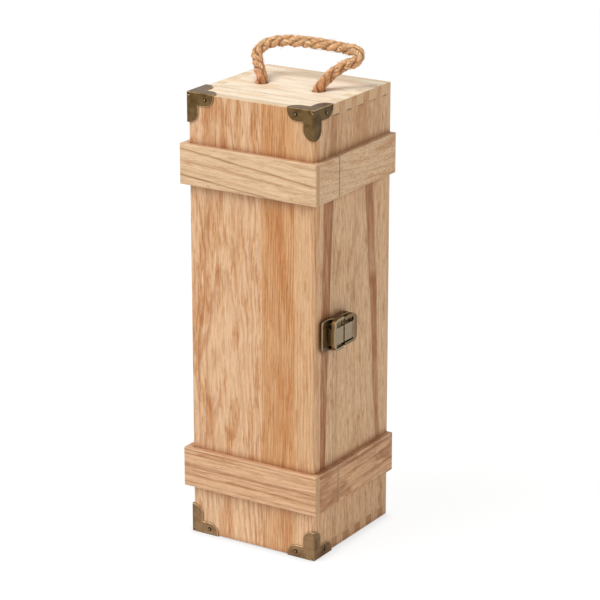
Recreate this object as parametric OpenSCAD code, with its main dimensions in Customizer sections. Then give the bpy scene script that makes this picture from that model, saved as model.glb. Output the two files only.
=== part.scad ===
// Upright wooden box for one bottle, sawn into a rear case and a hinged front lid.
// The origin is the centre of the base, +Z is up, the lid faces -Y and the latch is on +X.

/* [Box] */
// Width across the front, without the bands
box_w = 110; // [90:1:140]
// Depth from front to back, without the bands
box_d = 108; // [90:1:140]
// Height of the closed box, without the handle
box_h = 350; // [300:5:420]
// Thickness of the sides, the top, the bottom and the front panel
board_t = 8; // [6:0.5:10]
// Thickness of the back panel
back_t = 5; // [4:0.5:8]
// Radius on the upright front edges
edge_r = 2.5; // [1:0.5:4]
// Number of fingers and notches along each corner joint
finger_count = 11; // [7:2:15]

/* [Lid] */
// Depth of the front part that opens
lid_d = 27; // [25:1:36]
// Width of the saw cut between the lid and the case
saw_cut = 0.4; // [0.3:0.1:1]

/* [Bands] */
// Height of a band
band_h = 31; // [24:1:36]
// Thickness of a band
band_t = 5; // [4:0.5:7]
// Distance of each band from the near end of the box
band_inset = 38.5; // [34:0.5:50]
// Radius on the upright corners of a band
band_r = 1; // [0.5:0.5:2]

/* [Corner brackets] */
// Length of a bracket lobe along the front edges
bracket_l = 23; // [20:0.5:25]
// Length of a bracket lobe along the upright edges
bracket_up_l = 22.5; // [20:0.5:25]
// Length of a bracket lobe along the sides
bracket_side_l = 25; // [20:0.5:25]
// Width of a bracket lobe
bracket_w = 9; // [8:0.5:11]
// Thickness of the bracket sheet
bracket_t = 0.8; // [0.5:0.1:1.2]
// Radius at the end of a lobe
bracket_r = 8; // [4:0.5:8]
// Distance of a nail from the corner of the box
bracket_nail_run = 15.5; // [13:0.5:17]
// Distance of a nail from the edge of the box
bracket_nail_side = 4; // [3:0.5:5]
// Radius of a bracket nail head
nail_head_r = 1.7; // [1.3:0.1:2]
// Height of a bracket nail head
nail_head_h = 0.7; // [0.4:0.1:1]
// Radius of a nail shank
nail_shank_r = 0.7; // [0.5:0.1:0.9]
// Length of a bracket nail shank in the wood
nail_shank_l = 5; // [3:0.5:6]

/* [Hinges] */
// Height of a hinge
hinge_h = 24; // [18:1:24]
// Width of a hinge leaf
hinge_leaf_w = 13; // [10:0.5:16]
// Thickness of a hinge leaf
hinge_leaf_t = 1; // [0.8:0.1:1.4]
// Outer radius of a hinge knuckle
knuckle_r = 2; // [1.7:0.1:2.4]
// Radius of a hinge pin
hinge_pin_r = 0.9; // [0.7:0.05:1]
// Height that a hinge pin head stands above the knuckle
hinge_pin_head = 0.8; // [0.5:0.1:1.2]
// Distance between the two nails of a leaf
hinge_nail_pitch = 13; // [9:0.5:14]
// Radius of a small nail head
small_head_r = 1.4; // [1.1:0.1:1.6]
// Height of a small nail head
small_head_h = 0.5; // [0.3:0.1:0.6]

/* [Latch] */
// Height of the middle of the latch above the base
latch_z = 177; // [150:1:200]
// Height that the closed latch stands off the box
latch_rise = 10; // [9.8:0.1:10.6]
// Thickness of the latch sheet
latch_t = 1; // [0.8:0.1:1.1]
// Half the height of the lever
lever_half = 11; // [10.5:0.5:13]
// Reach of the lever behind the saw cut
lever_reach = 18.2; // [17:0.2:22]
// Distance of the lever's open end behind the saw cut
lever_lead = 1.6; // [1.4:0.1:2]
// Width of the raised rim along the latch
rim_side = 1.9; // [1.6:0.1:2.4]
// Width of the raised rim at the end of the lever
rim_end = 4.6; // [3:0.2:6]
// Width of the groove between the lever's rim and the pad
groove_w = 2.6; // [2:0.1:3]
// Depth of the groove below the rim
groove_drop = 2.6; // [1.6:0.1:2.6]
// Depth of the pad below the rim
pad_drop = 0.6; // [0.4:0.1:0.8]
// Distance that the pads lie below the middle of the latch
pad_low = 1.4; // [0:0.1:1.6]
// Radius of the corners of the raised parts
tray_r = 5; // [4:0.2:5.6]
// Width of the slit between the loop and the lever
latch_slit = 2; // [1.6:0.1:2]
// Distance of the pivot behind the saw cut
pivot_run = 3.6; // [3.4:0.1:4.2]
// Height of the pivot above the box
pivot_rise = 5; // [4.9:0.1:5.4]
// Radius of the two latch pins
latch_pin_r = 1; // [0.8:0.1:1.1]
// Distance from the pivot to the pin of the loop
loop_throw = 5.8; // [5.4:0.1:6.4]
// Distance that the pin of the loop lies nearer the box than the pivot
loop_drop = 0.6; // [0.2:0.1:0.8]
// Reach of the loop in front of the saw cut
loop_reach = 21; // [19:0.5:22]
// Width of the bar at the front end of the loop
loop_bar = 5.2; // [4:0.2:6]
// Thickness of the low frame of the loop
loop_frame_t = 1.4; // [1:0.1:1.6]
// Width of the low frame above and below its window
frame_side = 3.4; // [3:0.1:4]
// Length of the raised part of the loop
loop_hump = 12.6; // [11:0.2:12.6]
// Height of the keeper lip above the box
keeper_rise = 2.2; // [1.6:0.1:2.4]
// Half the height of the keeper
keeper_half = 6; // [5:0.5:7]
// Radius of the corners of the loop
loop_r = 3.2; // [2:0.2:4]

/* [Rope handle] */
// Diameter of the rope
rope_d = 9; // [7:0.5:9.5]
// Diameter of the holes for the rope
rope_hole_d = 10; // [9.8:0.1:12]
// Widest radius of a knot
knot_r = 9.5; // [8:0.5:11]
// Height of a knot
knot_h = 15; // [12:0.5:18]

/* [Fits] */
// Radial clearance of a hinge pin or latch pin in its hole
pin_gap = 0.05; // [0.02:0.01:0.1]
// Sideways clearance between moving sheet parts
side_gap = 0.3; // [0.2:0.05:0.4]
// Clearance round moving edges
swing_gap = 0.6; // [0.5:0.05:0.8]
// Clearance between resting parts
rest_gap = 0.3; // [0.2:0.05:0.4]

/* [Hidden] */
$fn = 48;

wood = "#d8ab7c";
pale_wood = "#e6c79c";
antique_brass = "#7a6238";
grey_brass = "#978a72";
jute = "#c99a63";

// Faces of the box
half_w = box_w / 2;
front_y = -box_d / 2;
back_y = box_d / 2;
seam_y = front_y + lid_d;
lid_end_y = seam_y - saw_cut / 2;
case_start_y = seam_y + saw_cut / 2;
frame_front_y = front_y + board_t;
frame_back_y = back_y - back_t;
finger_w = (frame_back_y - frame_front_y) / finger_count;
past = 1; // how far a cutting tool runs past the face that it cuts

// The side nail of a bracket goes into the first finger of the frame, clear of the notch beside it
side_nail_run = min(bracket_nail_run, board_t + finger_w - nail_shank_r - rest_gap);

// Bands
band_out = half_w + band_t;
lower_band_z = band_inset;
upper_band_z = box_h - band_inset - band_h;
lower_band_mid = lower_band_z + band_h / 2;
upper_band_mid = upper_band_z + band_h / 2;

// Hinges: the barrel stands just clear of the band, level with its face
hinge_x = -band_out - knuckle_r - rest_gap;
knuckle_count = 3;
knuckle_h = hinge_h / knuckle_count;

// Latch: distances in front of (-) and behind (+) the saw cut, and heights above the box
pivot = [half_w + pivot_rise, seam_y + pivot_run];
loop_pin = pivot + [-loop_drop, loop_throw];
base_start_y = case_start_y + rest_gap;
lever_start_y = seam_y + lever_lead;
lever_end_y = seam_y + lever_reach;
loop_half = lever_half + side_gap + latch_t;
loop_front_y = seam_y - loop_reach;
loop_top_end_y = lever_start_y - latch_slit;
hump_front_y = loop_top_end_y - loop_hump;
loop_low = keeper_rise + rest_gap;
pad_half = lever_half - rim_side - groove_w;
pad_rise = latch_rise - pad_drop;
groove_rise = latch_rise - groove_drop;
slab_rise = groove_rise - latch_t;
base_half = lever_half - latch_t - side_gap;
ear_half = pad_half - latch_t - side_gap;
ear_r = pad_rise - latch_t - side_gap - pivot_rise;
lever_cheek_r = pivot_rise - swing_gap;
lever_foot = 1.2;
arm_r = 2.4;

// Rope: points of the middle line, measured from the centre of the top of the box
rope_points = [
    [-25, 0, -8.3], [-25, 0, -5], [-25, 0, -2], [-25.3, 0.3, 1], [-26.4, 1.5, 3.8], [-28.6, 3.9, 6.2],
    [-32, 7.2, 9.2], [-35.6, 10.9, 12.3], [-38.9, 14.6, 15.8], [-39.9, 18.6, 19.6], [-37.6, 22.3, 22.8],
    [-32.8, 24.9, 25.1], [-26, 26.5, 26.7], [-18, 27.4, 27.6], [-8, 27.9, 28.1], [3, 28.1, 28.3],
    [14, 28, 28.2], [25, 27.8, 27.9], [33, 27.6, 27.6], [39.6, 27.1, 27.1], [43.9, 25.4, 25.4],
    [45.4, 22.8, 22.8], [43.9, 20.2, 20.2], [40, 18.6, 18.7], [35.8, 16.9, 17], [32.3, 13.7, 13.9],
    [29.6, 10.2, 10.9], [27.4, 6.2, 7.6], [25.8, 2.6, 4.4], [25.1, 0.6, 1.4], [25, 0, -2],
    [25, 0, -5], [25, 0, -8.3]
];
rope_sides = 12;
rope_hole_x = rope_points[len(rope_points) - 1].x;
rope_steps = 2;
knot_top_z = box_h - board_t - rest_gap;

function finger_y(i) = frame_front_y + i * finger_w;

// ---- boards ----

// What lies in front of or behind the saw cut
module slice(y0, y1) {
    translate([-box_w, y0, -box_h])
        cube([2 * box_w, y1 - y0, 3 * box_h]);
}

// Side board of the whole box, notched at both ends for the top and the bottom
module side_board(side) {
    x0 = side < 0 ? -half_w : half_w - board_t;
    difference() {
        translate([x0, frame_front_y, 0])
            cube([board_t, frame_back_y - frame_front_y, box_h]);
        for (z = [-past, box_h - board_t])
            for (i = [0 : 2 : finger_count - 1])
                translate([x0 - past, finger_y(i), z])
                    cube([board_t + 2 * past, finger_w, board_t + past]);
    }
}

// Top or bottom board of the whole box, notched at both ends for the sides
module end_board(z0) {
    difference() {
        translate([-half_w, frame_front_y, z0])
            cube([box_w, frame_back_y - frame_front_y, board_t]);
        for (x = [-half_w - past, half_w - board_t])
            for (i = [1 : 2 : finger_count - 1])
                translate([x, finger_y(i), z0 - past])
                    cube([board_t + past, finger_w, board_t + 2 * past]);
    }
}

module lid_part() {
    intersection() {
        children();
        slice(front_y, lid_end_y);
    }
}

module case_part() {
    intersection() {
        children();
        slice(case_start_y, back_y);
    }
}

// Plate lying in X-Y whose two corners at the front are rounded
module front_rounded(w, y0, y1, r) {
    difference() {
        translate([-w / 2, y0])
            square([w, y1 - y0]);
        for (s = [-1, 1])
            translate([s * (w / 2 - r), y0 + r])
                difference() {
                    translate([s > 0 ? 0 : -r - past, -r - past])
                        square([r + past, r + past]);
                    circle(r);
                }
    }
}

module lid_front_panel() {
    color(wood)
        linear_extrude(box_h)
            front_rounded(box_w, front_y, frame_front_y, edge_r);
}

module lid_left_side() { color(wood) lid_part() side_board(-1); }
module lid_right_side() { color(wood) lid_part() side_board(1); }
module lid_top() { color(pale_wood) lid_part() end_board(box_h - board_t); }
module lid_bottom() { color(pale_wood) lid_part() end_board(0); }

module case_left_side() { color(wood) case_part() side_board(-1); }
module case_right_side() { color(wood) case_part() side_board(1); }
module case_bottom() { color(pale_wood) case_part() end_board(0); }

module case_top() {
    color(pale_wood)
        difference() {
            case_part() end_board(box_h - board_t);
            for (s = [-1, 1])
                translate([s * rope_hole_x, 0, box_h - board_t - past])
                    cylinder(d = rope_hole_d, h = board_t + 2 * past);
        }
}

module case_back_panel() {
    color(wood)
        translate([-half_w, frame_back_y, 0])
            cube([box_w, back_t, box_h]);
}

// ---- bands ----

module band_front(z0) {
    color(pale_wood)
        translate([0, 0, z0])
            linear_extrude(band_h)
                front_rounded(2 * band_out, front_y - band_t, front_y, band_r);
}

module band_side(side, z0, y0, y1) {
    color(pale_wood)
        translate([side < 0 ? -band_out : half_w, y0, z0])
            cube([band_t, y1 - y0, band_h]);
}

module lid_upper_band_front() { band_front(upper_band_z); }
module lid_upper_band_left() { band_side(-1, upper_band_z, front_y, lid_end_y); }
module lid_upper_band_right() { band_side(1, upper_band_z, front_y, lid_end_y); }
module lid_lower_band_front() { band_front(lower_band_z); }
module lid_lower_band_left() { band_side(-1, lower_band_z, front_y, lid_end_y); }
module lid_lower_band_right() { band_side(1, lower_band_z, front_y, lid_end_y); }
module case_upper_band_left() { band_side(-1, upper_band_z, case_start_y, back_y); }
module case_upper_band_right() { band_side(1, upper_band_z, case_start_y, back_y); }
module case_lower_band_left() { band_side(-1, lower_band_z, case_start_y, back_y); }
module case_lower_band_right() { band_side(1, lower_band_z, case_start_y, back_y); }

// ---- corner brackets ----

// One lobe of a bracket: straight along the edge of the box, round at its inner end
module lobe(length) {
    start = -bracket_t;
    difference() {
        translate([start, start])
            square([length - start, bracket_w - start]);
        translate([length - bracket_r, bracket_w - bracket_r])
            difference() {
                square([bracket_r + past, bracket_r + past]);
                circle(bracket_r);
            }
    }
}

// The two lobes on one face, as a sheet under that face: one along X, one along Y
module bracket_face(along_x, along_y) {
    translate([0, 0, -bracket_t])
        linear_extrude(bracket_t) {
            lobe(along_x);
            mirror([1, -1]) lobe(along_y);
        }
}

// Bracket for a corner at the origin, with the box in the octant +X +Y +Z
module bracket_shape() {
    difference() {
        union() {
            bracket_face(bracket_l, bracket_side_l);
            rotate([0, 0, 90]) rotate([90, 0, 0]) bracket_face(bracket_side_l, bracket_up_l);
            rotate([0, -90, -90]) bracket_face(bracket_up_l, bracket_l);
        }
        // softened folds
        for (turn = [[0, 0, 0], [0, 90, 90], [-90, -90, 0]])
            rotate(turn) fold_cut();
    }
}

// Rounds the folded edge that runs along +X from the corner
module fold_cut() {
    translate([-bracket_t - past, -bracket_t, -bracket_t])
        rotate([90, 0, 90])
            linear_extrude(bracket_side_l + bracket_l)
                difference() {
                    translate([-past, -past])
                        square(bracket_t + past);
                    translate([bracket_t, bracket_t])
                        circle(bracket_t);
                }
}

// Puts a shape made for the corner at the origin on one front corner of the box
module at_corner(side, top) {
    translate([side * half_w, front_y, top ? box_h : 0])
        mirror([side > 0 ? 1 : 0, 0, 0])
            mirror([0, 0, top ? 1 : 0])
                children();
}

module bracket(side, top) {
    color(antique_brass)
        difference() {
            at_corner(side, top) bracket_shape();
            at_corner(side, top) bracket_nail_places()
                cylinder(r = nail_shank_r + pin_gap, h = 4 * past, center = true);
        }
}

// The nails of one bracket: one on the front lobe and one on the side lobe
module bracket_nail_places() {
    translate([bracket_nail_run, 0, bracket_nail_side])
        rotate([90, 0, 0])
            children();
    translate([0, side_nail_run, bracket_nail_side])
        rotate([0, -90, 0])
            children();
}

// Nail with a domed head that sits on a sheet of thickness t, shank into the wood
module nail(t, head_r, head_h, shank_l) {
    dome_r = (head_r * head_r + head_h * head_h) / (2 * head_h);
    translate([0, 0, -shank_l])
        cylinder(r = nail_shank_r, h = shank_l + t + head_h / 2);
    translate([0, 0, t])
        rotate_extrude()
            intersection() {
                translate([0, head_h - dome_r])
                    circle(dome_r);
                square([head_r, head_h]);
            }
}

module bracket_top_left() { bracket(-1, true); }
module bracket_top_right() { bracket(1, true); }
module bracket_bottom_left() { bracket(-1, false); }
module bracket_bottom_right() { bracket(1, false); }

module bracket_nails() {
    color(antique_brass)
        for (side = [-1, 1])
            for (top = [false, true])
                at_corner(side, top)
                    bracket_nail_places()
                        nail(bracket_t, nail_head_r, nail_head_h, nail_shank_l);
}

// ---- hinges ----

// Height of the middle of the hinge on the upper or the lower band
function hinge_z(upper) = upper ? upper_band_mid : lower_band_mid;

// Where the nails of a leaf go: forward = -1 for the lid leaf, 1 for the case leaf
module leaf_nail_places(upper, forward) {
    for (s = [-1, 1])
        translate([
            -band_out,
            seam_y + forward * (hinge_leaf_w + knuckle_r) / 2,
            hinge_z(upper) + s * hinge_nail_pitch / 2
        ])
            rotate([0, -90, 0])
                children();
}

// A leaf with its knuckles: the lid leaf has the middle one, the case leaf the outer two
module hinge_leaf(upper, forward) {
    knuckles = forward < 0 ? [1] : [0, 2];
    bottom = hinge_z(upper) - hinge_h / 2;
    clear = knuckle_r + rest_gap;
    link = clear + hinge_leaf_t;
    plate_y = forward < 0 ? seam_y - hinge_leaf_w : seam_y + clear;
    color(antique_brass)
        difference() {
            union() {
                translate([-band_out - hinge_leaf_t, plate_y, bottom])
                    cube([hinge_leaf_t, hinge_leaf_w - clear, hinge_h]);
                for (k = knuckles)
                    translate([0, 0, bottom + k * knuckle_h + side_gap / 2]) {
                        translate([hinge_x, seam_y, 0])
                            cylinder(r = knuckle_r, h = knuckle_h - side_gap);
                        translate([-band_out - hinge_leaf_t, forward < 0 ? seam_y - link : seam_y, 0])
                            cube([hinge_leaf_t - rest_gap, link, knuckle_h - side_gap]);
                    }
            }
            translate([hinge_x, seam_y, bottom - past])
                cylinder(r = hinge_pin_r + pin_gap, h = hinge_h + 2 * past);
            leaf_nail_places(upper, forward)
                cylinder(r = nail_shank_r + pin_gap, h = 4 * past, center = true);
        }
}

// Pin through all three knuckles, with a button head at each end
module hinge_pin(upper) {
    bottom = hinge_z(upper) - hinge_h / 2;
    head_r = (hinge_pin_r + knuckle_r) / 2;
    color(antique_brass)
        translate([hinge_x, seam_y, bottom]) {
            cylinder(r = hinge_pin_r, h = hinge_h);
            translate([0, 0, hinge_h])
                cylinder(r = head_r, h = hinge_pin_head);
            translate([0, 0, -hinge_pin_head])
                cylinder(r = head_r, h = hinge_pin_head);
        }
}

module upper_hinge_lid_leaf() { hinge_leaf(true, -1); }
module upper_hinge_case_leaf() { hinge_leaf(true, 1); }
module upper_hinge_pin() { hinge_pin(true); }
module lower_hinge_lid_leaf() { hinge_leaf(false, -1); }
module lower_hinge_case_leaf() { hinge_leaf(false, 1); }
module lower_hinge_pin() { hinge_pin(false); }

module leaf_nails(forward) {
    color(antique_brass)
        for (upper = [false, true])
            leaf_nail_places(upper, forward)
                nail(hinge_leaf_t, small_head_r, small_head_h, band_t - rest_gap);
}

module hinge_lid_nails() { leaf_nails(-1); }
module hinge_case_nails() { leaf_nails(1); }

// ---- latch ----

// Sheet lying parallel to the side of the box, between two heights above it
module flat_sheet(y0, y1, half, rise0, rise1) {
    translate([half_w + rise0, y0, latch_z - half])
        cube([rise1 - rise0, y1 - y0, 2 * half]);
}

// The same profile in X-Y standing on edge, as a pair above and below the middle of the latch
module cheeks(inner, t) {
    for (z = [latch_z + inner, latch_z - inner - t])
        translate([0, 0, z])
            linear_extrude(t)
                children();
}

module upright_pin(at, half) {
    translate([at.x, at.y, latch_z - half])
        cylinder(r = latch_pin_r, h = 2 * half);
}

module pin_hole(at) {
    translate([at.x, at.y, latch_z - box_w / 2])
        cylinder(r = latch_pin_r + pin_gap, h = box_w);
}

// Nails that hold the base plate: two side by side under the lever
base_nail_y = loop_pin.y + latch_pin_r + small_head_r;
base_nail_half = base_half / 2;

module base_nail_places() {
    for (s = [-1, 1])
        translate([half_w, base_nail_y, latch_z + s * base_nail_half])
            rotate([0, 90, 0])
                children();
}

// Plate on the case with two ears that carry the pivot
module latch_base() {
    color(antique_brass)
        difference() {
            union() {
                flat_sheet(base_start_y, lever_end_y - latch_t - rest_gap, base_half, 0, latch_t);
                at_pads() cheeks(ear_half - latch_t, latch_t) {
                    translate(pivot)
                        circle(ear_r);
                    translate([half_w, pivot.y - ear_r / 2])
                        square([pivot_rise, 1.5 * ear_r]);
                }
            }
            pin_hole(pivot);
            base_nail_places()
                cylinder(r = nail_shank_r + pin_gap, h = 4 * past, center = true);
        }
}

module latch_base_nails() {
    color(antique_brass)
        base_nail_places()
            nail(latch_t, small_head_r, small_head_h, nail_shank_l);
}

module latch_pivot_pin() {
    color(grey_brass)
        upright_pin(pivot, lever_half);
}

// Profile of a lever cheek: round at the pivot, straight to the free end
module lever_cheek() {
    low_x = half_w + lever_foot;
    intersection() {
        union() {
            translate(pivot)
                circle(lever_cheek_r);
            translate([low_x, pivot.y])
                square([latch_rise - lever_foot, lever_end_y - pivot.y]);
            translate([half_w + pivot_rise, lever_start_y])
                square([latch_rise - pivot_rise, pivot.y - lever_start_y]);
        }
        translate([half_w, lever_start_y])
            square([latch_rise, lever_end_y - lever_start_y]);
    }
}

// Rounded outline of the lever seen from the side of the box, in Y-Z
module lever_outline() {
    translate([lever_start_y, latch_z - lever_half])
        square([lever_end_y - lever_start_y - tray_r, 2 * lever_half]);
    translate([lever_start_y, latch_z - lever_half + tray_r])
        square([lever_end_y - lever_start_y, 2 * lever_half - 2 * tray_r]);
    for (s = [-1, 1])
        translate([lever_end_y - tray_r, latch_z + s * (lever_half - tray_r)])
            circle(tray_r);
}

// Draws a Y-Z outline as a block between two heights above the side of the box
module risen(rise0, rise1) {
    translate([half_w + rise0, 0, 0])
        rotate([90, 0, 90])
            linear_extrude(rise1 - rise0)
                children();
}

// Moves what belongs to the pads down from the middle of the latch
module at_pads() {
    translate([0, 0, -pad_low])
        children();
}

// What is pressed into the raised face between y0 and y1: two grooves, and a lowered pad between them
module pressed_face(y0, pad_y0, y1, half) {
    difference() {
        flat_sheet(y0, y1, half, groove_rise, latch_rise + past);
        at_pads()
            flat_sheet(y0 - past, y1 + past, pad_half, 0, latch_rise + 2 * past);
    }
    at_pads()
        flat_sheet(pad_y0, y1, pad_half, pad_rise, latch_rise + past);
}

// Channel with a pressed face: the pivot end is open, the free end is closed for the finger
module latch_lever() {
    pad_end_y = lever_end_y - rim_end;
    color(grey_brass)
        difference() {
            intersection() {
                risen(lever_foot, latch_rise)
                    lever_outline();
                union() {
                    flat_sheet(lever_start_y, lever_end_y, lever_half, slab_rise, latch_rise);
                    flat_sheet(lever_end_y - latch_t, lever_end_y, lever_half,
                        lever_foot * 2, latch_rise);
                    cheeks(lever_half - latch_t, latch_t)
                        lever_cheek();
                }
            }
            pressed_face(lever_start_y - past, lever_start_y - past, pad_end_y, lever_half - rim_side);
            at_pads()
                flat_sheet(lever_start_y - past, pad_end_y, pad_half - latch_t, 0, pad_rise - latch_t);
            pin_hole(pivot);
            pin_hole(loop_pin);
        }
}

module latch_loop_pin() {
    color(grey_brass)
        upright_pin(loop_pin, loop_half + latch_pin_r);
}

// Outline of the low frame of the loop, in Y-Z, with rounded front corners
module loop_outline() {
    translate([loop_front_y + loop_r, latch_z - loop_half])
        square([loop_top_end_y - loop_front_y - loop_r, 2 * loop_half]);
    translate([loop_front_y, latch_z - loop_half + loop_r])
        square([loop_r, 2 * loop_half - 2 * loop_r]);
    for (s = [-1, 1])
        translate([loop_front_y + loop_r, latch_z + s * (loop_half - loop_r)])
            circle(loop_r);
}

// Rounded outline of the raised part of the loop, in Y-Z
module hump_outline() {
    translate([hump_front_y + tray_r, latch_z - loop_half])
        square([loop_top_end_y - hump_front_y - tray_r, 2 * loop_half]);
    translate([hump_front_y, latch_z - loop_half + tray_r])
        square([loop_top_end_y - hump_front_y, 2 * loop_half - 2 * tray_r]);
    for (s = [-1, 1])
        translate([hump_front_y + tray_r, latch_z + s * (loop_half - tray_r)])
            circle(tray_r);
}

// Profile of a loop cheek: it rises behind the rounded corner and ends round at the pin of the loop
module loop_cheek() {
    arm_top = loop_pin.x + arm_r;
    foot_y = hump_front_y + tray_r / 2;
    polygon([
        [half_w + loop_low, foot_y - loop_frame_t],
        [half_w + loop_low + loop_frame_t, foot_y - loop_frame_t],
        [half_w + slab_rise, hump_front_y + tray_r],
        [half_w + latch_rise, hump_front_y + tray_r],
        [half_w + latch_rise, loop_top_end_y],
        [arm_top, loop_top_end_y + loop_frame_t],
        [arm_top, loop_pin.y],
        [loop_pin.x - arm_r, loop_pin.y],
        [half_w + loop_low, loop_top_end_y]
    ]);
    translate(loop_pin)
        circle(arm_r);
}

// Stamped loop: bar, low frame, cheeks, and a raised face with a tongue bent down at its front
module latch_loop() {
    window_half = loop_half - frame_side;
    color(grey_brass)
        difference() {
            union() {
                risen(loop_low, loop_low + loop_frame_t)
                    difference() {
                        loop_outline();
                        translate([loop_front_y + loop_bar, latch_z - window_half])
                            square([lever_reach + loop_reach, 2 * window_half]);
                    }
                cheeks(loop_half - latch_t, latch_t)
                    loop_cheek();
                risen(slab_rise, latch_rise)
                    hump_outline();
                at_pads()
                    flat_sheet(hump_front_y, hump_front_y + latch_t, pad_half,
                        loop_low, pad_rise - latch_t / 2);
            }
            pressed_face(hump_front_y + rim_side, hump_front_y - past, loop_top_end_y + past,
                loop_half - rim_side);
            at_pads()
                flat_sheet(hump_front_y + latch_t, loop_top_end_y + past, pad_half - latch_t, 0,
                    pad_rise - latch_t);
            pin_hole(loop_pin);
        }
}

// Plate on the lid with a lip that the bar of the loop drops behind
module latch_keeper() {
    lip_y = loop_front_y + loop_bar + rest_gap;
    color(antique_brass)
        difference() {
            union() {
                flat_sheet(lip_y, lid_end_y - rest_gap, keeper_half, 0, latch_t);
                flat_sheet(lip_y, lip_y + latch_t, keeper_half, 0, keeper_rise);
            }
            keeper_nail_places()
                cylinder(r = nail_shank_r + pin_gap, h = 4 * past, center = true);
        }
}

module keeper_nail_places() {
    for (s = [-1, 1])
        translate([half_w, (hump_front_y + lid_end_y) / 2, latch_z + s * keeper_half / 2])
            rotate([0, 90, 0])
                children();
}

module latch_keeper_nails() {
    color(antique_brass)
        keeper_nail_places()
            nail(latch_t, small_head_r, small_head_h, nail_shank_l);
}

// ---- rope handle ----

// A smooth curve through the points: each span is cut into rope_steps pieces
function spline(a, b, c, d, t) =
    0.5 * (2 * b + (c - a) * t + (2 * a - 5 * b + 4 * c - d) * t * t + (3 * b - a - 3 * c + d) * t * t * t);
function held_inside(i) = max(0, min(len(rope_points) - 1, i));
function rope_at(i, t) = spline(rope_points[held_inside(i - 1)], rope_points[i],
    rope_points[held_inside(i + 1)], rope_points[held_inside(i + 2)], t);
rope_line = concat(
    [for (i = [0 : len(rope_points) - 2]) for (s = [0 : rope_steps - 1]) rope_at(i, s / rope_steps)],
    [rope_points[len(rope_points) - 1]]
);

function unit(v) = v / norm(v);
function heading(i) = unit(rope_line[min(i + 1, len(rope_line) - 1)] - rope_line[max(i - 1, 0)]);
// Each ring's sideways direction is carried on from the ring before, so the tube never twists
function carried(v, h) = unit(v - (v * h) * h);
function frames(i, v) = i >= len(rope_line) ? []
    : let (w = carried(v, heading(i))) concat([w], frames(i + 1, w));
rope_frames = frames(0, [0, 1, 0]);

function ring(i) = [
    for (k = [0 : rope_sides - 1])
        let (a = 360 * k / rope_sides, u = rope_frames[i], w = cross(heading(i), u))
            rope_line[i] + [0, 0, box_h] + rope_d / 2 * (cos(a) * u + sin(a) * w)
];

module rope_handle() {
    rings = len(rope_line);
    points = [for (i = [0 : rings - 1]) each ring(i)];
    sides = [
        for (i = [0 : rings - 2]) for (k = [0 : rope_sides - 1])
            let (n = (k + 1) % rope_sides)
                [i * rope_sides + k, (i + 1) * rope_sides + k, (i + 1) * rope_sides + n, i * rope_sides + n]
    ];
    first = [for (k = [0 : rope_sides - 1]) k];
    last = [for (k = [rope_sides - 1 : -1 : 0]) (rings - 1) * rope_sides + k];
    color(jute)
        polyhedron(points = points, faces = concat([first], sides, [last]), convexity = 6);
}

// Knot that stops the rope under the top board, flat where the rope enters it
module rope_knot(side) {
    color(jute)
        translate([side * rope_hole_x, 0, knot_top_z - knot_h])
            rotate_extrude()
                intersection() {
                    square([knot_r, knot_h]);
                    translate([0, knot_h / 2])
                        circle(knot_r);
                }
}

module rope_knot_left() { rope_knot(-1); }
module rope_knot_right() { rope_knot(1); }

// ---- the nodes ----

lid_front_panel();
lid_left_side();
lid_right_side();
lid_top();
lid_bottom();
lid_upper_band_front();
lid_upper_band_left();
lid_upper_band_right();
lid_lower_band_front();
lid_lower_band_left();
lid_lower_band_right();
case_back_panel();
case_left_side();
case_right_side();
case_top();
case_bottom();
case_upper_band_left();
case_upper_band_right();
case_lower_band_left();
case_lower_band_right();
bracket_top_left();
bracket_top_right();
bracket_bottom_left();
bracket_bottom_right();
bracket_nails();
upper_hinge_lid_leaf();
upper_hinge_case_leaf();
upper_hinge_pin();
lower_hinge_lid_leaf();
lower_hinge_case_leaf();
lower_hinge_pin();
hinge_lid_nails();
hinge_case_nails();
latch_base();
latch_base_nails();
latch_pivot_pin();
latch_lever();
latch_loop_pin();
latch_loop();
latch_keeper();
latch_keeper_nails();
rope_handle();
rope_knot_left();
rope_knot_right();
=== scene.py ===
import math
import random

import bpy
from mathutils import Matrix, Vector


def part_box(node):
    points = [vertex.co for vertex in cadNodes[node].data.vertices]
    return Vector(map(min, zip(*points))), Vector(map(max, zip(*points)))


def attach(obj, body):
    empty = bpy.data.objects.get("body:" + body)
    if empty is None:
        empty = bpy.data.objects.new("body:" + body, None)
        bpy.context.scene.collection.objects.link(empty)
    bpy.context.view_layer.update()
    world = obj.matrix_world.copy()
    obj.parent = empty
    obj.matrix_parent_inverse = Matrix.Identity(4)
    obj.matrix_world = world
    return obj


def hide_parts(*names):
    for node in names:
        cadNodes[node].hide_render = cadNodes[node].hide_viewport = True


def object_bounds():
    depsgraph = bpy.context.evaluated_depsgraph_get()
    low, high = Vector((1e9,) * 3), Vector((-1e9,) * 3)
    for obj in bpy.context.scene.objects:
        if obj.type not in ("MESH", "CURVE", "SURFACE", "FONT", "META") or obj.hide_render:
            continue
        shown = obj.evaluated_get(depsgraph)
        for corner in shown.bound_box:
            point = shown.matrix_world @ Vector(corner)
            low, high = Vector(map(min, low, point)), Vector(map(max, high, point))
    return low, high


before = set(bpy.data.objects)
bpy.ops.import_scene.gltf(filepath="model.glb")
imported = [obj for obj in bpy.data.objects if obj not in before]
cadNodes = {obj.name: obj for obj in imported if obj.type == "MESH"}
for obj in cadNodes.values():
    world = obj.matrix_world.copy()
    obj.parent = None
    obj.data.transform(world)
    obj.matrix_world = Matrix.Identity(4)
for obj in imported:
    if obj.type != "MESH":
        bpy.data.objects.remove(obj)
cadLow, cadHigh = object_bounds()
scene = bpy.context.scene
scene.view_settings.view_transform = "Standard"
dice = random.Random(27)
mmPerMetre = 1000
print("frame loaded,", len(cadNodes), "nodes")

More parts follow.
